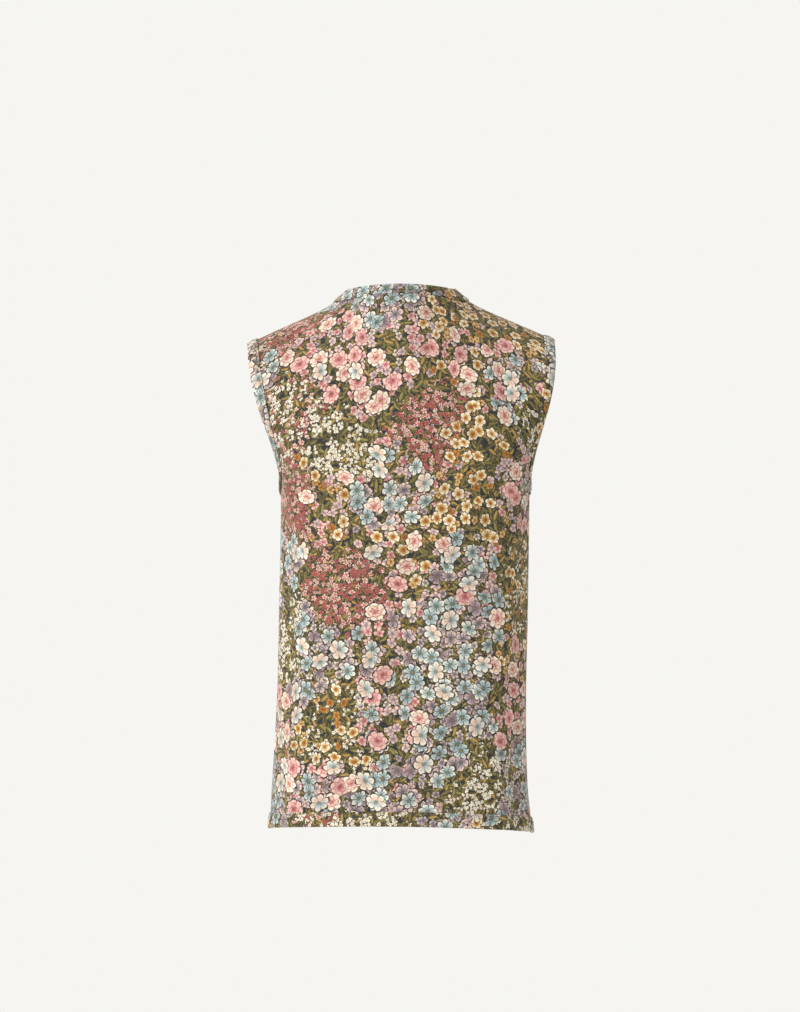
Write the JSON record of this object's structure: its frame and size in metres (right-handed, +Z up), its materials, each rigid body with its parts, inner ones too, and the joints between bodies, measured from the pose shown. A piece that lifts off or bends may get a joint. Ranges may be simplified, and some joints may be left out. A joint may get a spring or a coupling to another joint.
{
  "type": "tapestry vest",
  "caption": "Sleeveless hip-length tapestry vest with a V neck and a buttoned front, hollow as worn, with applied bands round neck, armholes, hem and front.",
  "frame": {"origin": "midway between the inner ends of the two shoulder seams, where the garment rests on its wearer", "axes": "+Z up, -Y out of the front, +X to the wearer's left"},
  "size_m": [0.3942, 0.2461, 0.6968],
  "materials": {
    "floral_tapestry": "matt jacquard-woven cotton tapestry with a dense pattern of small flowers",
    "tapestry_band": "strips of the same tapestry, folded in at both edges and sewn on",
    "horn_button": "satin dark horn"
  },
  "bodies": {
    "root": {"back": "floral_tapestry", "front_left": "floral_tapestry", "front_right": "floral_tapestry", "neck_band": "tapestry_band", "armhole_band_left": "tapestry_band", "armhole_band_right": "tapestry_band", "hem_band": "tapestry_band", "front_band": "tapestry_band", "button_1": "horn_button", "button_2": "horn_button", "button_3": "horn_button", "button_4": "horn_button", "button_5": "horn_button"}
  },
  "joints": []
}
